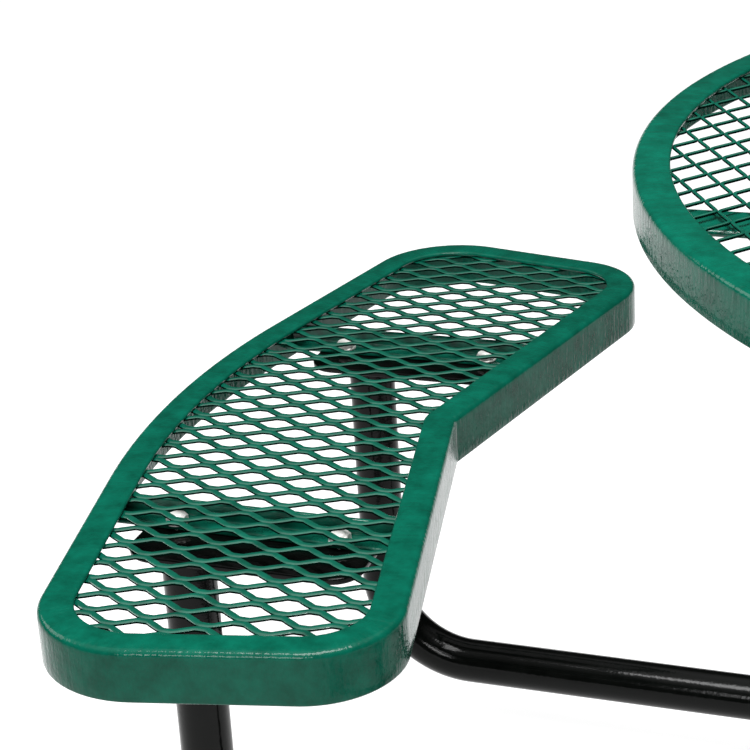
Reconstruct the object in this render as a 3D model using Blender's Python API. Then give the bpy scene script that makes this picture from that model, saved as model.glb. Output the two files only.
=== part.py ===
"""Round picnic table with four boomerang seats: thermoplastic-coated expanded metal on a black tube frame.

Metres, +Z up. The origin is on the floor under the centre of the table. Seat 1 lies towards -X, and the
others follow it round the table in quarter turns.
"""

import math

import bmesh
import bpy
from mathutils import Matrix, Vector

# Driving dimensions
TABLE_RADIUS = 0.5842
TABLE_TOP = 0.748
TABLE_SKIRT = 0.038
SEAT_TOP = 0.4565
SEAT_SKIRT = 0.0445
RIM_WIDTH = 0.029
RIM_STEEL = 0.0045
GAP = 0.0003

# Seat plan: distances from the kink, which is the middle of the seat's edge on the table side
KINK_TO_CENTRE = 0.7675
SEAT_BEND = math.radians(12.2)
SEAT_WIDTH = 0.2905
SEAT_HALF_LENGTH = 0.426
OUTER_BEND_RADIUS = 0.874
KINK_RADIUS = 0.012
OUTER_CORNER_RADIUS = 0.0885
INNER_CORNER_RADIUS = 0.0765

# Expanded metal panels, as plain sheets of the mesh's full depth
MESH_DEPTH = 0.0060
UMBRELLA_HOLE_RADIUS = 0.0205
COLLAR_WALL = 0.0045
COLLAR_HEIGHT = 0.030

# Frame
TUBE_RADIUS = 0.0230
TUBE_WALL = 0.0025
RUNNER_OFFSET = 0.2255
POST_INSET = 0.1666
BEND_RADIUS = 0.095
PLATE_THICKNESS = 0.006
SEAT_PLATE_LENGTH = 0.209
SEAT_PLATE_WIDTH = 0.099
SEAT_PLATE_CORNER = 0.026
SEAT_PLATE_MIDDLE = 0.1083
SEAT_PLATE_OFFSET = 0.2112
LEG_PLATE_LENGTH = 0.160
LEG_PLATE_WIDTH = 0.050
TABLE_BRACE_WIDTH = 0.046
TABLE_BRACE_THICKNESS = 0.005

# Steel angle across each seat, with its upright leg on the far side of the bolts
ANGLE_SIZE = 0.0208
ANGLE_STEEL = 0.0046
ANGLE_HEEL = 0.0150

# Bolts
SEAT_BOLT_SPACING = 0.149
SEAT_BOLT_MIDDLE = 0.110
SEAT_BOLT_OFFSET = 0.2035
LEG_BOLT_SPACING = 0.110
SHANK_RADIUS = 0.0047
HOLE_RADIUS = 0.0052
WASHER_RADIUS = 0.0100
WASHER_THICKNESS = 0.0020
NUT_CORNER_RADIUS = 0.0098
NUT_HEIGHT = 0.0055
STUD_END = 0.0010

# Levels that follow from the above
SEAT_MESH_TOP = SEAT_TOP - RIM_STEEL - GAP
SEAT_BRACE_TOP = SEAT_MESH_TOP - MESH_DEPTH - GAP
SEAT_PLATE_TOP = SEAT_BRACE_TOP - ANGLE_SIZE - GAP
POST_TOP = SEAT_PLATE_TOP - PLATE_THICKNESS - GAP
TABLE_MESH_TOP = TABLE_TOP - RIM_STEEL - GAP
TABLE_BRACE_TOP = TABLE_MESH_TOP - MESH_DEPTH - GAP
LEG_PLATE_TOP = TABLE_BRACE_TOP - TABLE_BRACE_THICKNESS - GAP
LEG_TOP = LEG_PLATE_TOP - PLATE_THICKNESS - GAP
LOWER_RUNNER_Z = TUBE_RADIUS
UPPER_RUNNER_Z = LOWER_RUNNER_Z + 2 * TUBE_RADIUS + GAP
POST_DISTANCE = KINK_TO_CENTRE + POST_INSET

# Facets, and how far a cutter reaches past what it cuts
RIM_SIDES = 96
TUBE_SIDES = 20
HOLE_SIDES = 12
BEND_STEPS = 8
ARC_STEP = math.radians(15)
PAST = 0.01


def clear_scene():
    for old in list(bpy.data.objects):
        bpy.data.objects.remove(old, do_unlink=True)


def new_collection(name, hidden=False):
    made = bpy.data.collections.new(name)
    bpy.context.scene.collection.children.link(made)
    made.hide_render = hidden
    return made


def new_material(name, colour, roughness, metallic=0.0):
    made = bpy.data.materials.new(name)
    made.use_nodes = True
    shader = made.node_tree.nodes["Principled BSDF"]
    shader.inputs["Base Color"].default_value = (*colour, 1.0)
    shader.inputs["Roughness"].default_value = roughness
    shader.inputs["Metallic"].default_value = metallic
    return made


clear_scene()
PARTS = new_collection("picnic_table")
CUTTERS = new_collection("cutters", hidden=True)
GREEN = new_material("green_thermoplastic", (0.006, 0.145, 0.095), 0.25)
BLACK = new_material("black_powder_coat", (0.012, 0.013, 0.013), 0.22)
STEEL = new_material("zinc_plated_steel", (0.62, 0.62, 0.60), 0.30, 1.0)


# Meshes


def mesh_of(obj):
    """Turns a curve object into a mesh object with welded caps, in the same place."""
    graph = bpy.context.evaluated_depsgraph_get()
    data = bpy.data.meshes.new_from_object(obj.evaluated_get(graph))
    shape = bmesh.new()
    shape.from_mesh(data)
    bmesh.ops.remove_doubles(shape, verts=shape.verts, dist=1e-6)
    bmesh.ops.recalc_face_normals(shape, faces=shape.faces)
    shape.to_mesh(data)
    shape.free()
    made = bpy.data.objects.new(obj.name, data)
    made.matrix_world = obj.matrix_world.copy()
    old = obj.data
    bpy.data.objects.remove(obj)
    bpy.data.curves.remove(old)
    return made


def slab(name, outline, low, high):
    """A flat plate with the given outline, between two levels."""
    curve = bpy.data.curves.new(name, "CURVE")
    curve.dimensions = "2D"
    curve.fill_mode = "BOTH"
    curve.extrude = (high - low) / 2
    spline = curve.splines.new("POLY")
    spline.points.add(len(outline) - 1)
    for point, (x, y) in zip(spline.points, outline):
        point.co = (x, y, 0.0, 1.0)
    spline.use_cyclic_u = True
    obj = bpy.data.objects.new(name, curve)
    CUTTERS.objects.link(obj)
    bpy.context.view_layer.update()
    made = mesh_of(obj)
    made.data.transform(Matrix.Translation((0.0, 0.0, (low + high) / 2)))
    return made


def cylinder(name, radius, low, high, at=(0.0, 0.0), sides=24):
    data = bpy.data.meshes.new(name)
    shape = bmesh.new()
    bmesh.ops.create_cone(
        shape,
        cap_ends=True,
        segments=sides,
        radius1=radius,
        radius2=radius,
        depth=high - low,
        matrix=Matrix.Translation((at[0], at[1], (low + high) / 2)),
    )
    shape.to_mesh(data)
    shape.free()
    return bpy.data.objects.new(name, data)


def combine(obj, tool, operation):
    """Applies one exact Boolean and drops the tool."""
    for one in (obj, tool):
        if not one.users_collection:
            CUTTERS.objects.link(one)
    modifier = obj.modifiers.new("combine", "BOOLEAN")
    modifier.operation = operation
    modifier.object = tool
    bpy.context.view_layer.update()
    graph = bpy.context.evaluated_depsgraph_get()
    data = bpy.data.meshes.new_from_object(obj.evaluated_get(graph))
    obj.modifiers.clear()
    old = obj.data
    obj.data = data
    bpy.data.meshes.remove(old)
    bpy.data.objects.remove(tool, do_unlink=True)
    return obj


def cut(obj, tool):
    return combine(obj, tool, "DIFFERENCE")


def add_part(obj, name, material):
    """Makes the object a named part in its own material."""
    for holder in list(obj.users_collection):
        holder.objects.unlink(obj)
    obj.name = name
    obj.data.name = name
    obj.data.materials.clear()
    obj.data.materials.append(material)
    obj.data.shade_smooth()
    obj.data.set_sharp_from_angle(angle=math.radians(35))
    PARTS.objects.link(obj)
    return obj


def add_turned_copies(obj, names, material):
    """The object, and its copies at quarter turns about the table's axis."""
    for step, name in enumerate(names):
        copy = obj if step == 0 else bpy.data.objects.new(name, obj.data.copy())
        copy.matrix_world = Matrix.Rotation(math.radians(90 * step), 4, "Z")
        add_part(copy, name, material)


# Outlines


def circle(radius, sides, centre=(0.0, 0.0)):
    turn = 2 * math.pi / sides
    angles = [turn * i for i in range(sides)]
    return [(centre[0] + radius * math.cos(a), centre[1] + radius * math.sin(a)) for a in angles]


def oblong(left, right, near, far):
    return [(left, near), (right, near), (right, far), (left, far)]


def rounded_oblong(centre, length, width, radius):
    """A bar along X with rounded corners."""
    x, y = centre
    corners = oblong(x - length / 2, x + length / 2, y - width / 2, y + width / 2)
    return rounded_outline([(*corner, radius) for corner in corners])


def offset_corners(corners, inset):
    """Corners of a counter-clockwise polygon whose every side moves inwards by the inset."""
    moved = []
    count = len(corners)
    for i in range(count):
        before, here, after = (Vector(corners[(i + k) % count][:2]) for k in (-1, 0, 1))
        first = (here - before).normalized()
        second = (after - here).normalized()
        normal = Vector((-first.y, first.x))
        other = Vector((-second.y, second.x))
        moved.append(here + (normal + other) * inset / (1.0 + normal.dot(other)))
    return moved


def rounded_outline(corners, inset=0.0):
    """Outline with an arc at each corner (x, y, radius); the inset moves the whole outline inwards."""
    moved = offset_corners(corners, inset)
    count = len(corners)
    outline = []
    for i in range(count):
        here = moved[i]
        back = (moved[i - 1] - here).normalized()
        ahead = (moved[(i + 1) % count] - here).normalized()
        hollow = back.cross(ahead) > 0
        radius = corners[i][2] + (inset if hollow else -inset)
        turning = math.pi - back.angle(ahead)
        reach = radius * math.tan(turning / 2)
        start = here + back * reach
        centre = here + (back + ahead).normalized() * radius / math.cos(turning / 2)
        steps = max(3, round(turning / ARC_STEP))
        side = -1 if hollow else 1
        for k in range(steps + 1):
            spoke = Matrix.Rotation(side * turning * k / steps, 2) @ (start - centre)
            outline.append(tuple(centre + spoke))
    return outline


def seat_corners():
    """Corners of seat 1, with the radius of each, counter-clockwise from above."""
    along = Vector((math.sin(SEAT_BEND), math.cos(SEAT_BEND)))
    outwards = Vector((-math.cos(SEAT_BEND), math.sin(SEAT_BEND)))
    kink = Vector((-KINK_TO_CENTRE, 0.0))
    inner_end = kink + along * SEAT_HALF_LENGTH
    outer_end = inner_end + outwards * SEAT_WIDTH
    outer_bend = kink - Vector((SEAT_WIDTH / math.cos(SEAT_BEND), 0.0))
    return [
        (kink.x, kink.y, KINK_RADIUS),
        (inner_end.x, inner_end.y, INNER_CORNER_RADIUS),
        (outer_end.x, outer_end.y, OUTER_CORNER_RADIUS),
        (outer_bend.x, outer_bend.y, OUTER_BEND_RADIUS),
        (outer_end.x, -outer_end.y, OUTER_CORNER_RADIUS),
        (inner_end.x, -inner_end.y, INNER_CORNER_RADIUS),
    ]


SEAT_CORNERS = seat_corners()
SEATS = (1, 2, 3, 4)


# Table top


def formed_rim(name, outlines, top, skirt):
    """A flat flange and a skirt, from the outer, skirt-inside and flange-inside outlines."""
    outer, inside_skirt, inside_flange = outlines
    body = slab(name, outer, top - skirt, top)
    cut(body, slab("hollow", inside_skirt, top - skirt - PAST, top - RIM_STEEL))
    return cut(body, slab("window", inside_flange, top - skirt - PAST, top + PAST))


def drill(obj, places, low, high):
    """Bolt holes through the object, between two levels and a little past them."""
    for place in places:
        cut(obj, cylinder("hole", HOLE_RADIUS, low - PAST, high + PAST, place, HOLE_SIDES))
    return obj


def make_table_top():
    outlines = [circle(TABLE_RADIUS - inset, RIM_SIDES) for inset in (0.0, RIM_STEEL, RIM_WIDTH)]
    add_part(formed_rim("table_rim", outlines, TABLE_TOP, TABLE_SKIRT), "table_rim", GREEN)

    mesh_radius = TABLE_RADIUS - RIM_STEEL - GAP
    mesh_low = TABLE_MESH_TOP - MESH_DEPTH
    sheet = slab("table_mesh", circle(mesh_radius, RIM_SIDES), mesh_low, TABLE_MESH_TOP)
    collar_outside = UMBRELLA_HOLE_RADIUS + COLLAR_WALL
    cut(sheet, cylinder("hole", collar_outside + GAP, mesh_low - PAST, TABLE_TOP + PAST, sides=32))
    add_part(sheet, "table_mesh", GREEN)

    collar_low = TABLE_TOP - COLLAR_HEIGHT
    collar = cylinder("umbrella_collar", collar_outside, collar_low, TABLE_TOP, sides=32)
    cut(collar, cylinder("bore", UMBRELLA_HOLE_RADIUS, collar_low - PAST, TABLE_TOP + PAST, sides=32))
    add_part(collar, "umbrella_collar", GREEN)

    low = TABLE_BRACE_TOP - TABLE_BRACE_THICKNESS
    half_length = math.sqrt(mesh_radius**2 - (RUNNER_OFFSET + TABLE_BRACE_WIDTH / 2) ** 2) - GAP
    for name, y in (("table_brace_1", -RUNNER_OFFSET), ("table_brace_2", RUNNER_OFFSET)):
        outline = oblong(-half_length, half_length, y - TABLE_BRACE_WIDTH / 2, y + TABLE_BRACE_WIDTH / 2)
        brace = slab(name, outline, low, TABLE_BRACE_TOP)
        places = [(x, y) for end in (-1, 1) for x in leg_bolt_places(end)]
        add_part(drill(brace, places, low, TABLE_BRACE_TOP), name, GREEN)


def leg_bolt_places(end):
    return [end * RUNNER_OFFSET + side * LEG_BOLT_SPACING / 2 for side in (-1, 1)]


# Seats


def make_seats():
    rim_outlines = [rounded_outline(SEAT_CORNERS, inset) for inset in (0.0, RIM_STEEL, RIM_WIDTH)]
    rim = formed_rim("seat_rim_1", rim_outlines, SEAT_TOP, SEAT_SKIRT)
    add_turned_copies(rim, [f"seat_rim_{n}" for n in SEATS], GREEN)

    panel = rounded_outline(SEAT_CORNERS, RIM_STEEL + GAP)
    sheet = slab("seat_mesh_1", panel, SEAT_MESH_TOP - MESH_DEPTH, SEAT_MESH_TOP)
    add_turned_copies(sheet, [f"seat_mesh_{n}" for n in SEATS], GREEN)

    for side, letter in ((-1, "a"), (1, "b")):
        add_turned_copies(make_seat_angle(side), [f"seat_brace_{n}{letter}" for n in SEATS], GREEN)


def make_seat_angle(side):
    """An angle across the seat whose ends follow the slant of the rim's skirt."""
    middle = side * SEAT_BOLT_OFFSET
    heel = middle + ANGLE_HEEL
    toe = heel - ANGLE_SIZE
    low = SEAT_BRACE_TOP - ANGLE_SIZE
    first, last = -KINK_TO_CENTRE - SEAT_WIDTH * 2, -KINK_TO_CENTRE + SEAT_WIDTH
    angle = slab("angle", oblong(first, last, toe, heel), low, SEAT_BRACE_TOP)
    notch = oblong(first - PAST, last + PAST, toe - PAST, heel - ANGLE_STEEL)
    cut(angle, slab("notch", notch, low + ANGLE_STEEL, SEAT_BRACE_TOP + PAST))
    inside = rounded_outline(SEAT_CORNERS, RIM_STEEL + GAP)
    combine(angle, slab("inside", inside, low - PAST, SEAT_BRACE_TOP + PAST), "INTERSECT")
    return drill(angle, [(x, middle) for x in seat_bolt_places()], low, low + ANGLE_STEEL)


def seat_bolt_places():
    middle = -KINK_TO_CENTRE - SEAT_BOLT_MIDDLE
    return [middle - SEAT_BOLT_SPACING / 2, middle + SEAT_BOLT_SPACING / 2]


# Frame


def tube(name, path, radius, resolution=4):
    curve = bpy.data.curves.new(name, "CURVE")
    curve.dimensions = "3D"
    curve.bevel_depth = radius
    curve.bevel_resolution = resolution
    curve.use_fill_caps = True
    spline = curve.splines.new("POLY")
    spline.points.add(len(path) - 1)
    for point, place in zip(spline.points, path):
        point.co = (*place, 1.0)
    obj = bpy.data.objects.new(name, curve)
    CUTTERS.objects.link(obj)
    bpy.context.view_layer.update()
    return mesh_of(obj)


def runner_path(offset, level, longer=0.0):
    """Down one post, along the floor and up the opposite post, with a bend at each foot."""
    path = []
    for end in (-1, 1):
        bend = []
        for k in range(BEND_STEPS + 1):
            angle = math.pi / 2 * k / BEND_STEPS
            x = end * (POST_DISTANCE - BEND_RADIUS + BEND_RADIUS * math.cos(angle))
            z = level + BEND_RADIUS - BEND_RADIUS * math.sin(angle)
            bend.append((x, offset, z))
        post = (end * POST_DISTANCE, offset, POST_TOP + longer)
        path += [post] + bend if end < 0 else bend[::-1] + [post]
    return path


def make_runners():
    for pair, level, turn in (("lower", LOWER_RUNNER_Z, 90), ("upper", UPPER_RUNNER_Z, 0)):
        for side, letter in ((-1, "a"), (1, "b")):
            name = f"{pair}_runner_{letter}"
            body = tube(name, runner_path(side * RUNNER_OFFSET, level), TUBE_RADIUS)
            bore = tube("bore", runner_path(side * RUNNER_OFFSET, level, 0.01), TUBE_RADIUS - TUBE_WALL)
            cut(body, bore)
            body.matrix_world = Matrix.Rotation(math.radians(turn), 4, "Z")
            add_part(body, name, BLACK)


def make_seat_plates():
    """Plates on the posts, with rounded corners, that the seat angles are bolted to."""
    low = SEAT_PLATE_TOP - PLATE_THICKNESS
    middle = -KINK_TO_CENTRE - SEAT_PLATE_MIDDLE
    for side, letter in ((-1, "a"), (1, "b")):
        centre = (middle, side * SEAT_PLATE_OFFSET)
        outline = rounded_oblong(centre, SEAT_PLATE_LENGTH, SEAT_PLATE_WIDTH, SEAT_PLATE_CORNER)
        plate = slab("plate", outline, low, SEAT_PLATE_TOP)
        drill(plate, [(x, side * SEAT_BOLT_OFFSET) for x in seat_bolt_places()], low, SEAT_PLATE_TOP)
        add_turned_copies(plate, [f"seat_plate_{n}{letter}" for n in SEATS], BLACK)


def make_legs():
    """Upright tubes on the four crossings, cut to sit on the upper runners, each with a plate on top."""
    places = [(x, y) for y in (-RUNNER_OFFSET, RUNNER_OFFSET) for x in (-RUNNER_OFFSET, RUNNER_OFFSET)]
    for number, (x, y) in enumerate(places, 1):
        leg = cylinder(f"table_leg_{number}", TUBE_RADIUS, UPPER_RUNNER_Z, LEG_TOP, (x, y), TUBE_SIDES)
        cut(leg, cylinder("bore", TUBE_RADIUS - TUBE_WALL, 0.0, LEG_TOP + PAST, (x, y), TUBE_SIDES))
        saddle = cylinder("saddle", TUBE_RADIUS + GAP, -2 * TUBE_RADIUS, 2 * TUBE_RADIUS)
        lying = Matrix.Rotation(math.pi / 2, 4, "Y")
        saddle.data.transform(Matrix.Translation((x, y, UPPER_RUNNER_Z)) @ lying)
        add_part(cut(leg, saddle), f"table_leg_{number}", BLACK)

        low = LEG_PLATE_TOP - PLATE_THICKNESS
        outline = rounded_oblong((x, y), LEG_PLATE_LENGTH, LEG_PLATE_WIDTH, LEG_PLATE_WIDTH / 2 * 0.98)
        plate = slab("plate", outline, low, LEG_PLATE_TOP)
        drill(plate, [(place, y) for place in leg_bolt_places(math.copysign(1, x))], low, LEG_PLATE_TOP)
        add_part(plate, f"leg_plate_{number}", BLACK)


# Bolts


def make_bolts():
    """Studs fixed in each seat's plates, with the washer and nut that hold the angle down, as one piece."""
    low = SEAT_PLATE_TOP - PLATE_THICKNESS
    washer_low = SEAT_BRACE_TOP - ANGLE_SIZE + ANGLE_STEEL + GAP
    nut_low = washer_low + WASHER_THICKNESS
    nut_top = nut_low + NUT_HEIGHT
    places = [(x, side * SEAT_BOLT_OFFSET) for x in seat_bolt_places() for side in (-1, 1)]
    for place, letter in zip(places, "abcd"):
        bolt = cylinder("bolt", SHANK_RADIUS, low, nut_top + STUD_END, place, HOLE_SIDES)
        washer = cylinder("washer", WASHER_RADIUS, washer_low, nut_low, place, 16)
        nut = cylinder("nut", NUT_CORNER_RADIUS, nut_low - WASHER_THICKNESS / 2, nut_top, place, 6)
        combine(combine(bolt, washer, "UNION"), nut, "UNION")
        add_turned_copies(bolt, [f"seat_bolt_{n}{letter}" for n in SEATS], STEEL)


make_table_top()
make_seats()
make_runners()
make_seat_plates()
make_legs()
make_bolts()
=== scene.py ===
"""Looks of the round picnic table: coated expanded-metal top and four boomerang seats on a black tube frame.

Metres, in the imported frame. The origin is on the floor under the middle of the table; seat 1 lies towards -X.
"""

import math

import bpy
import numpy as np
from mathutils import Matrix, Vector


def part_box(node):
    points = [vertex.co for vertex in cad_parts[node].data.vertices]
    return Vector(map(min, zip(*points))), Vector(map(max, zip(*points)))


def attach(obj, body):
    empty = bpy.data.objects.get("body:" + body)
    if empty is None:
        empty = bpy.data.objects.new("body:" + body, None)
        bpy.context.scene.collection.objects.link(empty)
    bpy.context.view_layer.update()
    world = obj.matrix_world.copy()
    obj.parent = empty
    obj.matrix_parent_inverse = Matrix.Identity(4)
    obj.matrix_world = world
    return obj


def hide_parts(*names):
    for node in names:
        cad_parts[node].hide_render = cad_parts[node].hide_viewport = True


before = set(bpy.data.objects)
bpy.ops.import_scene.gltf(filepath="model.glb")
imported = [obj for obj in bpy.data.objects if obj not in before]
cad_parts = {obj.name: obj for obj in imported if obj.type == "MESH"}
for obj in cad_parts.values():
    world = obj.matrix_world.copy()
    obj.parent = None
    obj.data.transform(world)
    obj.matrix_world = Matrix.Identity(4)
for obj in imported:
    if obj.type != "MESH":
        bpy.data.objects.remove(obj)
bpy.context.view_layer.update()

# Levels and sizes that the frame gives
SEAT_LOW, SEAT_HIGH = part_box("seat_rim_1")
TABLE_LOW, TABLE_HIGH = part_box("table_rim")
SEAT_TOP, SEAT_SKIRT = SEAT_HIGH.z, SEAT_HIGH.z - SEAT_LOW.z
TABLE_TOP, TABLE_SKIRT = TABLE_HIGH.z, TABLE_HIGH.z - TABLE_LOW.z
TABLE_RADIUS = TABLE_HIGH.x
SEAT_MESH_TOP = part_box("seat_mesh_1")[1].z
TABLE_MESH_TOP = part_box("table_mesh")[1].z

# The design's own dimensions
GAP = 0.0003
KINK_TO_CENTRE = 0.7675
SEAT_BEND = math.radians(12.2)
SEAT_WIDTH = 0.2905
SEAT_HALF_LENGTH = 0.426
OUTER_BEND_RADIUS = 0.874
KINK_RADIUS = 0.012
OUTER_CORNER_RADIUS = 0.0885
INNER_CORNER_RADIUS = 0.0765
RIM_WIDTH = 0.029
RIM_STEEL = 0.0045
TUBE_RADIUS = 0.0230
RUNNER_OFFSET = 0.2255
POST_DISTANCE = KINK_TO_CENTRE + 0.1666
BEND_RADIUS = 0.095
SEAT_PLATE_CORNER = 0.026
ANGLE_STEEL = 0.0046
SEAT_BOLT_SPACING = 0.149
SEAT_BOLT_MIDDLE = 0.110
SEAT_BOLT_OFFSET = 0.2035
LEG_BOLT_SPACING = 0.110
STUD_RADIUS = 0.0045
NUT_ACROSS = 0.0168
WASHER_THICKNESS = 0.0020
SEAT_WASHER_RADIUS = 0.0100
SEAT_NUT_HEIGHT = 0.0053
TABLE_WASHER_RADIUS = 0.0105
TABLE_NUT_HEIGHT = 0.0084
TOUCH = 0.0001  # air between a fastener and the plate that it sits on

SEATS = (1, 2, 3, 4)


# Meshes


def skin(rings, closed=False):
    """Vertices and faces over a stack of rings; an open stack gets a face at each end."""
    rings = np.asarray(rings, float)
    count, sides = rings.shape[:2]
    index = np.arange(count * sides).reshape(count, sides)
    here = index if closed else index[:-1]
    ahead = np.roll(index, -1, axis=0) if closed else index[1:]
    quads = np.stack([here, ahead, np.roll(ahead, -1, axis=1), np.roll(here, -1, axis=1)], axis=-1)
    faces = quads.reshape(-1, 4).tolist()
    if not closed:
        faces += [index[0].tolist(), index[-1][::-1].tolist()]
    return rings.reshape(-1, 3), faces


def merged(skins):
    """Several skins as one set of vertices and faces."""
    vertices, faces, start = [], [], 0
    for points, its_faces in skins:
        vertices.append(points)
        faces += [[start + corner for corner in face] for face in its_faces]
        start += len(points)
    return np.concatenate(vertices), faces


def signed_volume(data):
    data.calc_loop_triangles()
    corners = np.empty(len(data.loop_triangles) * 3, np.int32)
    data.loop_triangles.foreach_get("vertices", corners)
    points = np.empty(len(data.vertices) * 3, np.float32)
    data.vertices.foreach_get("co", points)
    a, b, c = np.moveaxis(points.reshape(-1, 3)[corners.reshape(-1, 3)].astype(float), 1, 0)
    return float(np.einsum("ij,ij->i", a, np.cross(b, c)).sum() / 6)


def new_piece(name, made, material, sharp=math.radians(50)):
    """An object with its faces pointing out, shaded smooth except at edges sharper than the angle."""
    vertices, faces = made
    data = bpy.data.meshes.new(name)
    data.from_pydata(vertices.tolist(), [], faces)
    if signed_volume(data) < 0:
        data.flip_normals()
    data.materials.append(material)
    data.shade_smooth()
    data.set_sharp_from_angle(angle=sharp)
    obj = bpy.data.objects.new(name, data)
    bpy.context.scene.collection.objects.link(obj)
    return obj


def settle(obj, slot, *nodes):
    """The piece rides with the table and stands for these CAD nodes; slot is not used."""
    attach(obj, "root")
    if nodes:
        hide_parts(*nodes)


def quarter_turns(obj, slot, piece_name, cad_name):
    """The piece of seat 1 and its copies for the other seats, a quarter turn apart about the table's axis."""
    for turn, seat in enumerate(SEATS):
        copy = obj
        if turn:
            copy = bpy.data.objects.new(piece_name.format(seat), obj.data)
            bpy.context.scene.collection.objects.link(copy)
            copy.matrix_world = Matrix.Rotation(math.pi / 2 * turn, 4, "Z")
        settle(copy, slot, cad_name.format(seat))


def arc(centre, radius, start, end, steps):
    angles = np.radians(np.linspace(start, end, steps + 1))
    return [(centre[0] + radius * math.cos(a), centre[1] + radius * math.sin(a)) for a in angles]


def wobble(distance, waves):
    """A smooth uneven ripple: a sum of sines of unlike lengths, from -1 to 1."""
    ripples = [np.sin(2 * math.pi * distance / length + 1.7 * i) for i, length in enumerate(waves)]
    return sum(ripples) / len(waves)


# Materials


def node(tree, kind, **values):
    made = tree.nodes.new(kind)
    for key, value in values.items():
        if key in made.inputs:
            made.inputs[key].default_value = value
        else:
            setattr(made, key, value)
    return made


def coated_material(
    name, colour, shade, roughness, grain, relief, ripple=0.0, metallic=0.0, specular=0.5, sides=None
):
    """A finish with a mottled colour, uneven gloss and an orange-peel surface.

    A rim also gets ripples across it. With a colour for its sides, faces that don't look up take that colour as
    painted shade and lose their gloss.
    """
    material = bpy.data.materials.new(name)
    material.use_nodes = True
    tree = material.node_tree
    shader = tree.nodes["Principled BSDF"]
    shader.inputs["Metallic"].default_value = metallic
    shader.inputs["Specular IOR Level"].default_value = specular
    place = node(tree, "ShaderNodeTexCoord")

    mottle = node(tree, "ShaderNodeTexNoise", Scale=42.0, Detail=5.0, Roughness=0.65)
    tree.links.new(place.outputs["Object"], mottle.inputs["Vector"])
    ramp = node(tree, "ShaderNodeValToRGB")
    ramp.color_ramp.elements[0].position = 0.3
    ramp.color_ramp.elements[0].color = (*shade, 1.0)
    ramp.color_ramp.elements[1].position = 0.7
    ramp.color_ramp.elements[1].color = (*colour, 1.0)
    tree.links.new(mottle.outputs["Fac"], ramp.inputs["Fac"])
    finish = ramp.outputs["Color"]
    # Painted shade: faces that don't look up take the dark sides colour and lose their gloss, standing in for
    # the shade on the strands' sides.
    if sides:
        facing = node(tree, "ShaderNodeNewGeometry")
        split = node(tree, "ShaderNodeSeparateXYZ")
        painted_shade_mask = node(tree, "ShaderNodeMapRange")
        painted_shade_mask.inputs["From Min"].default_value = 0.15
        painted_shade_mask.inputs["From Max"].default_value = 0.75
        painted_shade_mix = node(tree, "ShaderNodeMix", data_type="RGBA")
        painted_shade_mix.inputs[6].default_value = (*sides, 1.0)
        tree.links.new(facing.outputs["Normal"], split.inputs["Vector"])
        tree.links.new(split.outputs["Z"], painted_shade_mask.inputs["Value"])
        tree.links.new(painted_shade_mask.outputs["Result"], painted_shade_mix.inputs[0])
        tree.links.new(finish, painted_shade_mix.inputs[7])
        finish = painted_shade_mix.outputs[2]
        shine = node(tree, "ShaderNodeMath", operation="MULTIPLY")
        shine.inputs[1].default_value = specular
        tree.links.new(painted_shade_mask.outputs["Result"], shine.inputs[0])
        tree.links.new(shine.outputs["Value"], shader.inputs["Specular IOR Level"])
    tree.links.new(finish, shader.inputs["Base Color"])

    gloss = node(tree, "ShaderNodeMapRange")
    gloss.inputs["To Min"].default_value = roughness * 0.75
    gloss.inputs["To Max"].default_value = roughness * 1.3
    tree.links.new(mottle.outputs["Fac"], gloss.inputs["Value"])
    tree.links.new(gloss.outputs["Result"], shader.inputs["Roughness"])

    peel = node(tree, "ShaderNodeTexNoise", Scale=grain, Detail=2.0, Roughness=0.45)
    tree.links.new(place.outputs["Object"], peel.inputs["Vector"])
    bump = node(tree, "ShaderNodeBump", Strength=0.6, Distance=relief)
    tree.links.new(peel.outputs["Fac"], bump.inputs["Height"])
    if ripple:
        stretch = node(tree, "ShaderNodeMapping")
        stretch.inputs["Scale"].default_value = (230.0, 34.0, 1.0)
        tree.links.new(place.outputs["UV"], stretch.inputs["Vector"])
        waves = node(tree, "ShaderNodeTexNoise", Scale=1.0, Detail=2.5, Roughness=0.5)
        tree.links.new(stretch.outputs["Vector"], waves.inputs["Vector"])
        second = node(tree, "ShaderNodeBump", Strength=0.8, Distance=ripple)
        tree.links.new(waves.outputs["Fac"], second.inputs["Height"])
        tree.links.new(bump.outputs["Normal"], second.inputs["Normal"])
        bump = second
    tree.links.new(bump.outputs["Normal"], shader.inputs["Normal"])
    return material


GREEN = (0.0012, 0.0750, 0.0470)
DEEP_GREEN = (0.0007, 0.0380, 0.0230)
RIM_COAT = coated_material("rim_coat", GREEN, DEEP_GREEN, 0.13, 260.0, 0.0004, ripple=0.0006, specular=0.13)
# The mesh coat's near-black sides colour is painted shade on the strands' sides, not the coat's own colour.
MESH_COAT = coated_material(
    "mesh_coat", GREEN, DEEP_GREEN, 0.16, 420.0, 0.00005, specular=0.80, sides=(0.0002, 0.0040, 0.0025)
)
BRACE_COAT = coated_material("brace_coat", GREEN, DEEP_GREEN, 0.20, 420.0, 0.0003, specular=0.35)
BLACK_COAT = coated_material(
    "black_coat", (0.0020, 0.0024, 0.0021), (0.0010, 0.0013, 0.0011), 0.12, 300.0, 0.0002, specular=0.12
)
ZINC = coated_material(
    "zinc_plate", (0.80, 0.80, 0.77), (0.60, 0.60, 0.57), 0.30, 900.0, 0.0001, metallic=0.4
)


# Rims


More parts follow.
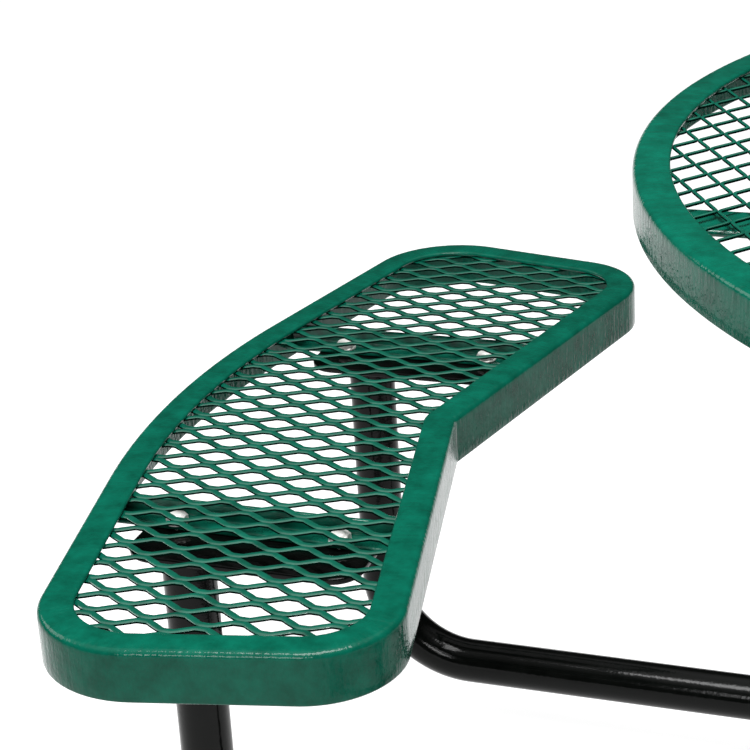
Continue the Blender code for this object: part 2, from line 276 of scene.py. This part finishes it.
def seat_corners():
    """Corners of seat 1, with the radius of each, counter-clockwise from above."""
    along = Vector((math.sin(SEAT_BEND), math.cos(SEAT_BEND)))
    outwards = Vector((-math.cos(SEAT_BEND), math.sin(SEAT_BEND)))
    kink = Vector((-KINK_TO_CENTRE, 0.0))
    inner_end = kink + along * SEAT_HALF_LENGTH
    outer_end = inner_end + outwards * SEAT_WIDTH
    outer_bend = kink - Vector((SEAT_WIDTH / math.cos(SEAT_BEND), 0.0))
    return [
        (kink.x, kink.y, KINK_RADIUS),
        (inner_end.x, inner_end.y, INNER_CORNER_RADIUS),
        (outer_end.x, outer_end.y, OUTER_CORNER_RADIUS),
        (outer_bend.x, outer_bend.y, OUTER_BEND_RADIUS),
        (outer_end.x, -outer_end.y, OUTER_CORNER_RADIUS),
        (inner_end.x, -inner_end.y, INNER_CORNER_RADIUS),
    ]


def outline_stations(corners, spacing):
    """Points along the rounded outline and the direction inwards at each, evenly spaced."""
    arcs = []
    count = len(corners)
    for i in range(count):
        here = Vector(corners[i][:2])
        back = (Vector(corners[i - 1][:2]) - here).normalized()
        ahead = (Vector(corners[(i + 1) % count][:2]) - here).normalized()
        side = 1 if ahead.cross(back) > 0 else -1
        radius = corners[i][2]
        turning = math.pi - back.angle(ahead)
        centre = here + (back + ahead).normalized() * radius / math.cos(turning / 2)
        start = here + back * radius * math.tan(turning / 2)
        steps = max(4, round(radius * turning / spacing))
        spokes = [Matrix.Rotation(side * turning * k / steps, 2) @ (start - centre) for k in range(steps + 1)]
        arcs.append([(centre + spoke, -side * spoke.normalized()) for spoke in spokes])
    stations = []
    for i in range(count):
        stations += arcs[i]
        first, inwards = arcs[i][-1]
        last = arcs[(i + 1) % count][0][0]
        steps = max(1, round((last - first).length / spacing))
        stations += [(first.lerp(last, k / steps), inwards) for k in range(1, steps)]
    return np.array([p for p, _ in stations]), np.array([n for _, n in stations])


def circle_stations(radius, count):
    angles = np.arange(count) * 2 * math.pi / count
    spokes = np.stack([np.cos(angles), np.sin(angles)], axis=1)
    return radius * spokes, -spokes


def rim_profile(skirt):
    """The formed section, clockwise: distance in from the outer face, and height from the top."""
    edge = RIM_STEEL / 2
    shoulder = 0.0055  # radius where the flange turns down into the skirt
    hollow = 0.003  # radius of the same turn inside
    crown = 0.0004  # rise of the coat in the middle of the flange
    section = arc((edge, edge - skirt), edge, 0, -180, 6)
    section += [(0.0, -skirt * share) for share in (0.75, 0.5, 0.3)]
    section += arc((shoulder, -shoulder), shoulder, 180, 90, 7)
    flat = RIM_WIDTH - shoulder - edge
    for share in (0.2, 0.4, 0.6, 0.8):
        section.append((shoulder + flat * share, crown * math.sin(math.pi * share)))
    section += arc((RIM_WIDTH - edge, -edge), edge, 90, -90, 6)
    section += arc((RIM_STEEL + hollow, -RIM_STEEL - hollow), hollow, 90, 180, 4)
    return section


def make_rim(name, stations, top, skirt):
    """Sweeps the section round the outline, with shallow dip-coating ripples on the outer faces."""
    points, inwards = stations
    section = rim_profile(skirt)
    steps = np.linalg.norm(np.roll(points, -1, axis=0) - points, axis=1)
    travelled = np.concatenate([[0.0], np.cumsum(steps)])[:-1]
    strength = 0.6 + 0.4 * wobble(travelled, (0.11, 0.17))
    ripple = RIPPLE * wobble(travelled, (0.0071, 0.0094, 0.0127, 0.0173)) * strength
    rings = np.empty((len(points), len(section), 3))
    for k, (depth, height) in enumerate(section):
        on_skirt, on_flange = depth < OUTER_FACE, height > -OUTER_FACE
        rings[:, k, :2] = points + inwards * (depth - ripple * on_skirt)[:, None]
        rings[:, k, 2] = top + height + ripple * on_flange
    vertices, faces = skin(rings, closed=True)
    obj = new_piece(name, (vertices, faces), RIM_COAT)
    unwrap_rim(obj, travelled, section)
    return obj


def unwrap_rim(obj, travelled, section):
    """Texture coordinates in metres: along the rim, and round its section, with no seam inside a face."""
    across = np.concatenate([[0.0], np.cumsum([math.dist(a, b) for a, b in zip(section, section[1:])])])
    total = travelled[-1] + (travelled[1] - travelled[0])
    layer = obj.data.uv_layers.new(name="along_and_across")
    corners = np.empty(len(obj.data.loops), np.int32)
    obj.data.loops.foreach_get("vertex_index", corners)
    station, place = corners // len(section), corners % len(section)
    u, v = travelled[station], across[place]
    faces = np.empty(len(obj.data.polygons), np.int32)
    obj.data.polygons.foreach_get("loop_start", faces)
    first_station = np.minimum.reduceat(station, faces)
    last_station = np.maximum.reduceat(station, faces)
    wraps = np.repeat(last_station - first_station > 1, 4)
    u = np.where(wraps & (station == 0), total, u)
    first_place = np.minimum.reduceat(place, faces)
    last_place = np.maximum.reduceat(place, faces)
    closes = np.repeat(last_place - first_place > 1, 4)
    v = np.where(closes & (place == 0), across[-1] + math.dist(section[-1], section[0]), v)
    layer.data.foreach_set("uv", np.stack([u, v], axis=1).astype(np.float32).ravel())


SEAT_CORNERS = seat_corners()
RIM_SPACING = 0.0022  # step of the sweep, fine enough for the ripples
RIPPLE = 0.00012
OUTER_FACE = 0.001  # how deep a point of the section still counts as on the outer face


def make_rims():
    seat = make_rim("seat_frame_1", outline_stations(SEAT_CORNERS, RIM_SPACING), SEAT_TOP, SEAT_SKIRT)
    quarter_turns(seat, "green_coat", "seat_frame_{}", "seat_rim_{}")
    count = round(2 * math.pi * TABLE_RADIUS / RIM_SPACING)
    table = make_rim("table_frame", circle_stations(TABLE_RADIUS, count), TABLE_TOP, TABLE_SKIRT)
    settle(table, "green_coat", "table_rim")


# Expanded metal

STRAND_SIDES = 8
SOFT = 0.10  # share of a strand's zigzag over which each of its bends is rounded
COAT_SWELL = 1.06  # how much wider the coat leaves a strand than its blank


class Panel:
    """An expanded sheet: strands zigzag along its long way and join their neighbours at the bonds."""

    def __init__(self, long_way, short_way, origin, heading, top, width, depth, bond):
        self.long_way, self.short_way, self.origin, self.top = long_way, short_way, np.array(origin), top
        self.width, self.depth, self.bond = width, depth, bond
        self.along = np.array([math.cos(heading), math.sin(heading)])
        self.across = np.array([-math.sin(heading), math.cos(heading)])

    def rise(self, row, distance):
        """From 0 at the strand's bonds with the row before to 1 at its bonds with the row after."""
        half = self.long_way / 2
        phase = np.abs((distance / half - row) % 2.0 - 1.0)
        flat = self.bond / self.long_way
        share = (phase - flat) / (1 - 2 * flat)
        return soft_step(share) - soft_step(share - 1)

    def centreline(self, row, distance):
        """Plan position of the strand's middle, and how far it has crossed its row."""
        rise = self.rise(row, distance)
        low = (row * self.short_way + self.width) / 2
        high = ((row + 1) * self.short_way - self.width) / 2
        sideways = low + (high - low) * rise
        return self.origin + np.outer(distance, self.along) + np.outer(sideways, self.across), rise

    def strand(self, row, distance):
        """Rings of a rounded strip along the strand."""
        plan, rise = self.centreline(row, distance)
        slope = (self.short_way / 2 - self.width) / (self.long_way / 2 - self.bond)
        crossing = np.clip(4 * np.minimum(rise, 1 - rise), 0, 1)
        half_width = self.width / 2 * (COAT_SWELL + (math.hypot(1, slope) - 1) * crossing)
        rings = np.empty((len(distance), STRAND_SIDES, 3))
        for k in range(STRAND_SIDES):
            angle = 2 * math.pi * (k + 0.5) / STRAND_SIDES
            sideways = half_width * squircle(math.cos(angle))
            rings[:, k, :2] = plan + sideways[:, None] * self.across
            rings[:, k, 2] = self.top - self.depth / 2 * (1 - squircle(math.sin(angle)))
        return rings

    def samples(self, row, reach):
        """Distances along a strand, closer together where it bends."""
        flat = self.bond / self.long_way
        bend = (-0.6 * SOFT, 0.0, 0.6 * SOFT, 1.3 * SOFT)
        shares = [0.0, *(flat + b for b in bend), 0.5, *(1 - flat - b for b in bend[::-1])]
        half = self.long_way / 2
        steps = int(reach / half) + 1
        return np.array([(n + share) * half for n in range(-steps, steps) for share in shares])

    def strands(self, rows, reach, room):
        """The skins of all strands, cut where room, the distance to the sheet's edge, runs out."""
        made = []
        for row in rows:
            distance = self.samples(row, reach)
            spare = room(self.centreline(row, distance)[0])
            inside = spare > 0
            starts = np.flatnonzero(inside & ~np.roll(inside, 1))
            for first in starts:
                last = first
                while last + 1 < len(inside) and inside[last + 1]:
                    last += 1
                if first == 0 or last + 1 == len(inside) or last - first < 2:
                    continue
                entry = np.interp(0, spare[first - 1 : first + 1], distance[first - 1 : first + 1])
                leave = np.interp(0, spare[last : last + 2][::-1], distance[last : last + 2][::-1])
                run = np.concatenate([[entry], distance[first : last + 1], [leave]])
                made.append(skin(self.strand(row, run)))
        return made


def soft_step(share):
    """Zero below 0 and the value itself above, with a rounded bend between."""
    return np.clip(share + SOFT, 0, 2 * SOFT) ** 2 / (4 * SOFT) + np.maximum(share - SOFT, 0)


def squircle(value):
    """Pushes a cosine or sine outwards, so that a ring of 8 points is a rounded oblong."""
    return math.copysign(abs(value) ** 0.65, value)


def room_in_outline(stations, inset):
    """How far a point lies inside the outline, less the inset."""
    points, _ = stations
    ends = np.roll(points, -1, axis=0)
    sides = ends - points
    lengths = (sides**2).sum(axis=1)

    def room(places):
        towards = places[:, None] - points
        share = np.clip((towards * sides).sum(axis=2) / lengths, 0, 1)
        nearest = np.linalg.norm(towards - share[..., None] * sides, axis=2).min(axis=1)
        above = points[:, 1] > places[:, None, 1]
        crosses = above != (ends[:, 1] > places[:, None, 1])
        with np.errstate(divide="ignore", invalid="ignore"):
            slope = (places[:, None, 1] - points[:, 1]) / sides[:, 1] * sides[:, 0] + points[:, 0]
        within = (crosses & (places[:, None, 0] < slope)).sum(axis=1) % 2 == 1
        return np.where(within, nearest, -nearest) - inset

    return room


SEAT_PANEL = Panel(
    0.0491,
    0.0317,
    origin=(-0.9314, -0.1931),
    heading=math.radians(-1.02),
    top=SEAT_MESH_TOP,
    width=0.0064,
    depth=0.0030,
    bond=0.0090,
)
TABLE_PANEL = Panel(
    0.0424,
    0.0307,
    origin=(-0.5255, -0.1340),
    heading=math.radians(86.67),
    top=TABLE_MESH_TOP,
    width=0.0030,
    depth=0.0026,
    bond=0.0036,
)
PANEL_INSET = RIM_STEEL + 0.0030  # the sheet stops this far inside the rim's outer face
SEAT_ROWS = range(-22, 48)
TABLE_ROWS = range(-78, 8)
TABLE_BANDS = 4


def make_seat_panels():
    room = room_in_outline(outline_stations(SEAT_CORNERS, 0.02), PANEL_INSET)
    skins = SEAT_PANEL.strands(SEAT_ROWS, 0.4, room)
    panel = new_piece("seat_panel_1", merged(skins), MESH_COAT)
    quarter_turns(panel, "green_coat", "seat_panel_{}", "seat_mesh_{}")


def make_table_panel():
    """The table's sheet in four bands, each a piece."""
    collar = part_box("umbrella_collar")[1].x

    def room(places):
        distance = np.linalg.norm(places, axis=1)
        return np.minimum(TABLE_RADIUS - PANEL_INSET - distance, distance - collar - GAP)

    for band in range(TABLE_BANDS):
        first, last = (len(TABLE_ROWS) * edge // TABLE_BANDS for edge in (band, band + 1))
        skins = TABLE_PANEL.strands(TABLE_ROWS[first:last], 1.2, room)
        piece = new_piece(f"table_panel_{band + 1}", merged(skins), MESH_COAT)
        settle(piece, "green_coat", "table_mesh")


# Bars and plates


def rounded_plate(name, outline_at, low, high, edge, material):
    """A plate whose edges are rounded; outline_at gives its outline at an inset."""
    rings = []
    for level, angles in ((low + edge, (-90, -60, -30, 0)), (high - edge, (0, 30, 60, 90))):
        for angle in np.radians(angles):
            outline = np.array(outline_at(edge * (1 - math.cos(angle))))
            heights = np.full((len(outline), 1), level + edge * math.sin(angle))
            rings.append(np.hstack([outline, heights]))
    return new_piece(name, skin(rings), material)


def cornered(low, high, radius):
    """Outline of an oblong bar with round corners, at any inset."""
    corners = ((low.x, low.y), (high.x, low.y), (high.x, high.y), (low.x, high.y))
    shape = [(x, y, radius) for x, y in corners]

    def outline_at(inset):
        points, inwards = outline_stations(shape, radius / 8)
        return points + inwards * inset

    return outline_at


def seat_bolt_places():
    middle = -KINK_TO_CENTRE - SEAT_BOLT_MIDDLE
    return [middle - SEAT_BOLT_SPACING / 2, middle + SEAT_BOLT_SPACING / 2]


def angle_section(low, high):
    """An angle's section, counter-clockwise in (y, z): toe on the left, upright leg on the right."""
    edge, root = 0.0016, 0.0035
    toe_y, heel_y, foot, top = low.y, high.y, low.z, high.z
    section = arc((toe_y + edge, foot + edge), edge, 180, 270, 5)
    section += arc((heel_y - root, foot + root), root, -90, 0, 6)
    section += arc((heel_y - edge, top - edge), edge, 0, 90, 5)
    section += arc((heel_y - ANGLE_STEEL + edge, top - edge), edge, 90, 180, 5)
    section += arc((heel_y - ANGLE_STEEL - root, foot + ANGLE_STEEL + root), root, 0, -90, 6)
    section += arc((toe_y + edge, foot + ANGLE_STEEL - edge), edge, 90, 180, 5)
    return section


def make_seat_supports():
    """Green angles across each seat, bolted to the black plates on the posts."""
    inset = (RIM_STEEL + GAP) / math.cos(SEAT_BEND)
    inner, outer = -KINK_TO_CENTRE - inset, -KINK_TO_CENTRE - SEAT_WIDTH / math.cos(SEAT_BEND) + inset
    for letter in "ab":
        low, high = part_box(f"seat_brace_1{letter}")
        section = angle_section(low, high)
        rings = []
        for end, shrink in ((outer, 0.0006), (outer + 0.0006, 0.0), (inner - 0.0006, 0.0), (inner, 0.0006)):
            middle = Vector(((low.y + high.y) / 2, (low.z + high.z) / 2))
            ring = [Vector(p).lerp(middle, shrink / 0.01) for p in section]
            rings.append([(end + math.tan(SEAT_BEND) * abs(p.x), p.x, p.y) for p in ring])
        angle = new_piece(f"seat_angle_1{letter}", skin(rings), BRACE_COAT, math.radians(30))
        quarter_turns(angle, "green_coat", "seat_angle_{}" + letter, "seat_brace_{}" + letter)

        low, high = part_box(f"seat_plate_1{letter}")
        outline = cornered(low, high, SEAT_PLATE_CORNER)
        plate = rounded_plate(f"seat_carrier_1{letter}", outline, low.z, high.z, 0.0016, BLACK_COAT)
        quarter_turns(plate, "black_coat", "seat_carrier_{}" + letter, "seat_plate_{}" + letter)


def make_table_supports():
    for number in (1, 2):
        low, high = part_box(f"table_brace_{number}")
        outline = cornered(low, high, 0.002)
        bar = rounded_plate(f"table_crossbar_{number}", outline, low.z, high.z, 0.0018, BRACE_COAT)
        settle(bar, "green_coat", f"table_brace_{number}")
    for number in SEATS:
        low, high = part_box(f"leg_plate_{number}")
        outline = cornered(low, high, (high.y - low.y) / 2 * 0.98)
        plate = rounded_plate(f"table_carrier_{number}", outline, low.z, high.z, 0.0016, BLACK_COAT)
        settle(plate, "black_coat", f"leg_plate_{number}")


# Tubes and welds


def planar_tube(path, radius, sides=40):
    """Rings round a path that lies in a plane of constant Y."""
    path = np.asarray(path, float)
    tangent = np.gradient(path, axis=0)
    tangent /= np.linalg.norm(tangent, axis=1, keepdims=True)
    sideways = np.array([0.0, 1.0, 0.0])
    upwards = np.cross(tangent, sideways)
    angles = np.arange(sides) * 2 * math.pi / sides
    out = np.cos(angles)[:, None] * sideways + np.sin(angles)[:, None] * upwards[:, None]
    return skin(path[:, None] + radius * out)


def runner_path(offset, level, top):
    """Down a post, round the bend, along the floor, round and up the other post."""
    bend = arc((POST_DISTANCE - BEND_RADIUS, level + BEND_RADIUS), BEND_RADIUS, 0, -90, 24)
    rise = [(POST_DISTANCE, top - (top - bend[0][1]) * share) for share in (0.0, 0.02, 0.3, 0.6, 0.9, 0.98)]
    floor = [((POST_DISTANCE - BEND_RADIUS) * share, level) for share in (0.98, 0.5, 0.1)]
    half = rise + bend + floor
    whole = half + [(-x, z) for x, z in half[::-1]]
    return [(x, offset, z) for x, z in whole]


BEAD_ANGLES = np.arange(90) * 2 * math.pi / 90
BEAD_SIDES = 10


def make_weld(name, centre, radius, thickness, levels):
    """A weld bead round an upright tube, at one level or at a level for each of its angles."""
    spoke = np.stack([np.cos(BEAD_ANGLES), np.sin(BEAD_ANGLES), 0 * BEAD_ANGLES], axis=1)
    path = np.array([*centre, 0.0]) + radius * spoke
    path[:, 2] += levels
    swell = thickness * (1 + 0.10 * np.sin(BEAD_ANGLES * 22) + 0.05 * np.sin(BEAD_ANGLES * 5 + 1.0))
    turns = np.arange(BEAD_SIDES) * 2 * math.pi / BEAD_SIDES
    up = np.array([0.0, 0.0, 1.0])
    out = np.cos(turns)[None, :, None] * spoke[:, None] + np.sin(turns)[None, :, None] * up
    return new_piece(name, skin(path[:, None] + swell[:, None, None] * out, closed=True), BLACK_COAT)


HEAD_WELD_RADIUS = TUBE_RADIUS + 0.0008
HEAD_WELD_THICKNESS = 0.0032
WELD_DROP = 0.0022  # how far under a plate the middle of its bead runs


def make_runners():
    for pair, turn in (("lower", math.pi / 2), ("upper", 0.0)):
        for side, letter in ((-1, "a"), (1, "b")):
            low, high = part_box(f"{pair}_runner_{letter}")
            path = runner_path(side * RUNNER_OFFSET, low.z + TUBE_RADIUS, high.z)
            runner = new_piece(f"{pair}_tube_{letter}", planar_tube(path, TUBE_RADIUS), BLACK_COAT)
            runner.matrix_world = Matrix.Rotation(turn, 4, "Z")
            settle(runner, "black_coat", f"{pair}_runner_{letter}")
    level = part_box("seat_plate_1a")[0].z - WELD_DROP
    for seat in SEATS:
        for side, letter in ((-1, "a"), (1, "b")):
            place = (-POST_DISTANCE, side * RUNNER_OFFSET)
            weld = make_weld(f"post_weld_{seat}{letter}", place, HEAD_WELD_RADIUS, HEAD_WELD_THICKNESS, level)
            weld.matrix_world = Matrix.Rotation(math.pi / 2 * (seat - 1), 4, "Z")
            settle(weld, "black_coat")


def make_legs():
    """The legs on the crossings of the runners, with the welds at their ends and between the runners."""
    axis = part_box("upper_runner_a")[0].z + TUBE_RADIUS
    saddle = axis + TUBE_RADIUS * np.abs(np.cos(BEAD_ANGLES)) + 0.001
    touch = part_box("lower_runner_a")[0].z + 2 * TUBE_RADIUS + GAP / 2
    reach = 0.0135  # radius of the bead round the spot where two runners touch
    dip = touch - reach**2 * np.cos(2 * BEAD_ANGLES) / (4 * TUBE_RADIUS)
    for number in SEATS:
        low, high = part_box(f"table_leg_{number}")
        place = ((low.x + high.x) / 2, (low.y + high.y) / 2)
        levels = [axis + 0.004, *np.linspace(axis + 0.03, high.z, 8)]
        tube = turned([(TUBE_RADIUS, level) for level in levels], place, 40)
        settle(new_piece(f"leg_tube_{number}", tube, BLACK_COAT), "black_coat", f"table_leg_{number}")

        under_plate = high.z - WELD_DROP
        for name, radius, thickness, levels in (
            ("leg_foot_weld", TUBE_RADIUS, 0.0038, saddle),
            ("leg_head_weld", HEAD_WELD_RADIUS, HEAD_WELD_THICKNESS, under_plate),
            ("crossing_weld", reach, 0.0036, dip),
        ):
            settle(make_weld(f"{name}_{number}", place, radius, thickness, levels), "black_coat")


# Fasteners and collar


def turned(profile, centre, sides=32):
    """A turned shape from (radius, height) pairs, first to last along its outside."""
    angles = np.arange(sides) * 2 * math.pi / sides
    spoke = np.stack([np.cos(angles), np.sin(angles)], axis=1)
    rings = []
    for radius, height in profile:
        rings.append(np.hstack([np.array(centre) + radius * spoke, np.full((sides, 1), height)]))
    return skin(rings)


def washer(centre, outer, low):
    """A washer with eased edges; its hole is hidden by the stud."""
    high, ease = low + WASHER_THICKNESS, WASHER_THICKNESS * 0.3
    profile = [(outer - ease, low), (outer, low + ease), (outer, high - ease), (outer - ease, high)]
    return turned([(0.002, low), *profile, (0.002, high)], centre)


def hex_nut(centre, low, high):
    """A nut with its corners chamfered to a circle at both faces."""
    sides, chamfer, face = 48, 0.0010, NUT_ACROSS / 2 * 0.97
    angles = np.arange(sides) * 2 * math.pi / sides
    hexagon = NUT_ACROSS / 2 / np.cos((angles + math.pi / 6) % (math.pi / 3) - math.pi / 6)
    levels = [(low, face), (low + chamfer, NUT_ACROSS), (high - chamfer, NUT_ACROSS), (high, face)]
    rings = []
    for level, most in levels:
        radius = np.minimum(hexagon, most)
        ring = np.stack([centre[0] + radius * np.cos(angles), centre[1] + radius * np.sin(angles)], axis=1)
        rings.append(np.hstack([ring, np.full((sides, 1), level)]))
    return skin(rings)


def seat_fastener(place, low, tail):
    """A stud from its tail up through the washer and the nut, with its rounded end standing out."""
    washer_high = low + WASHER_THICKNESS
    nut_high = washer_high + SEAT_NUT_HEIGHT
    tip = [(0.0047, nut_high - 0.002), (0.0047, nut_high + 0.0004), (0.0038, nut_high + 0.0009)]
    stud = [(STUD_RADIUS, low + 0.0060), (STUD_RADIUS, tail)]
    return merged(
        [
            washer(place, SEAT_WASHER_RADIUS, low),
            hex_nut(place, washer_high, nut_high),
            turned(tip, place),
            turned(stud, place, 20),
        ]
    )


def table_fastener(place, head_low, plate_low):
    """A low round head on the crossbar, and the washer and nut under the plate on the leg."""
    nut_high = plate_low - TOUCH - WASHER_THICKNESS
    nut_low = nut_high - TABLE_NUT_HEIGHT
    head = [(0.0098, head_low), (0.0098, head_low + 0.0008), (0.0066, head_low + 0.0022)]
    shank = [
        (STUD_RADIUS, head_low + 0.0010),
        (STUD_RADIUS, nut_low - 0.0013),
        (STUD_RADIUS - 0.0008, nut_low - 0.0021),
    ]
    return merged(
        [
            turned(head, place),
            turned(shank, place),
            washer(place, TABLE_WASHER_RADIUS, nut_high),
            hex_nut(place, nut_low, nut_high),
        ]
    )


def make_bolts():
    """Studs with nuts over the seat angles, and bolts with nuts under the table's plates."""
    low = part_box("seat_brace_1a")[0].z + ANGLE_STEEL + TOUCH
    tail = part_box("seat_bolt_1a")[0].z
    places = [(x, side * SEAT_BOLT_OFFSET) for x in seat_bolt_places() for side in (-1, 1)]
    for place, letter in zip(places, "abcd"):
        fastener = new_piece(f"seat_fastener_1{letter}", seat_fastener(place, low, tail), ZINC)
        quarter_turns(fastener, "bolt_steel", "seat_fastener_{}" + letter, "seat_bolt_{}" + letter)

    head_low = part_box("table_brace_1")[1].z + TOUCH
    for number in SEATS:
        low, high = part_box(f"leg_plate_{number}")
        middle = (low + high) / 2
        for side, letter in ((-1, "a"), (1, "b")):
            place = (middle.x + side * LEG_BOLT_SPACING / 2, middle.y)
            bolt = table_fastener(place, head_low, low.z)
            settle(new_piece(f"table_fastener_{number}{letter}", bolt, ZINC), "bolt_steel")


def make_collar():
    low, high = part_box("umbrella_collar")
    edge = 0.00225  # half the wall, so that both rims are round
    middle = high.x - edge
    section = arc((middle, low.z + edge), edge, -180, 0, 8) + arc((middle, high.z - edge), edge, 0, 180, 8)
    angles = np.arange(64) * 2 * math.pi / 64
    rings = [[(r * math.cos(a), r * math.sin(a), z) for r, z in section] for a in angles]
    collar = new_piece("umbrella_ring", skin(rings, closed=True), BRACE_COAT)
    settle(collar, "green_coat", "umbrella_collar")


# Stage


def make_floor():
    bpy.ops.mesh.primitive_plane_add(size=60.0)
    floor = bpy.context.object
    floor.name = "floor"
    material = bpy.data.materials.new("pale_floor")
    material.use_nodes = True
    tree = material.node_tree
    shader = tree.nodes["Principled BSDF"]
    shader.inputs["Roughness"].default_value = 0.6
    place = node(tree, "ShaderNodeTexCoord")
    grain = node(tree, "ShaderNodeTexNoise", Scale=3.0, Detail=2.0)
    ramp = node(tree, "ShaderNodeValToRGB")
    ramp.color_ramp.elements[0].color = (0.30, 0.30, 0.30, 1.0)
    ramp.color_ramp.elements[1].color = (0.34, 0.34, 0.34, 1.0)
    shader.inputs["Emission Color"].default_value = (1.0, 1.0, 1.0, 1.0)
    shader.inputs["Emission Strength"].default_value = 0.85
    shader.inputs["Specular IOR Level"].default_value = 0.0
    tree.links.new(place.outputs["Object"], grain.inputs["Vector"])
    tree.links.new(grain.outputs["Fac"], ramp.inputs["Fac"])
    tree.links.new(ramp.outputs["Color"], shader.inputs["Base Color"])
    floor.data.materials.append(material)


def make_camera():
    """A long lens that looks down along one seat, turned slightly about its own axis."""
    heading, pitch, roll = math.radians(111.38), math.radians(22.428), math.radians(-3.479)
    right = Vector((math.sin(heading), -math.cos(heading), 0.0))
    level = Vector((math.cos(heading), math.sin(heading), 0.0))
    forward = level * math.cos(pitch) - Vector((0.0, 0.0, math.sin(pitch)))
    up = right.cross(forward)
    across = math.cos(roll) * right + math.sin(roll) * up
    upwards = -math.sin(roll) * right + math.cos(roll) * up
    camera = bpy.data.objects.new("camera", bpy.data.cameras.new("camera"))
    bpy.context.scene.collection.objects.link(camera)
    turn = Matrix((across, upwards, -forward)).transposed().to_4x4()
    camera.matrix_world = Matrix.Translation((-0.1831, -1.6851, 1.2393)) @ turn
    camera.data.sensor_width = 36.0
    camera.data.lens = 103.59
    camera.data.clip_start = 0.05
    bpy.context.scene.camera = camera


def area_light(name, place, target, size, power):
    light = bpy.data.lights.new(name, "AREA")
    light.shape = "RECTANGLE"
    light.size, light.size_y = size
    light.energy = power
    obj = bpy.data.objects.new(name, light)
    bpy.context.scene.collection.objects.link(obj)
    aim = Vector(target) - Vector(place)
    obj.matrix_world = Matrix.Translation(place) @ aim.to_track_quat("-Z", "Y").to_matrix().to_4x4()


def make_lights():
    """A studio dark round its walls and bright overhead, with soft boxes above, on the left and in front."""
    world = bpy.data.worlds.new("studio")
    world.use_nodes = True
    bpy.context.scene.world = world
    tree = world.node_tree
    place = node(tree, "ShaderNodeTexCoord")
    split = node(tree, "ShaderNodeSeparateXYZ")
    ramp = node(tree, "ShaderNodeValToRGB")
    ramp.color_ramp.elements[0].position = 0.60
    ramp.color_ramp.elements[0].color = (0.03, 0.03, 0.03, 1.0)
    ramp.color_ramp.elements[1].position = 0.90
    ramp.color_ramp.elements[1].color = (1.0, 1.0, 1.0, 1.0)
    tree.links.new(place.outputs["Generated"], split.inputs["Vector"])
    tree.links.new(split.outputs["Z"], ramp.inputs["Fac"])
    tree.links.new(ramp.outputs["Color"], tree.nodes["Background"].inputs["Color"])
    tree.nodes["Background"].inputs["Strength"].default_value = 1.25
    area_light("overhead", (-0.55, -0.55, 2.35), (-0.9, -0.3, 0.4), (1.1, 1.1), 84.0)
    area_light("left", (-3.2, 0.2, 2.0), (-0.7, 0.0, 0.4), (1.6, 1.2), 26.0)
    area_light("front", (-0.5, -3.4, 1.9), (-0.8, -0.4, 0.4), (1.4, 1.0), 66.0)


make_camera()
make_rims()
make_seat_panels()
make_table_panel()
make_seat_supports()
make_table_supports()
make_runners()
make_legs()
make_bolts()
make_collar()
make_floor()
make_lights()
bpy.context.scene.view_settings.view_transform = "Standard"
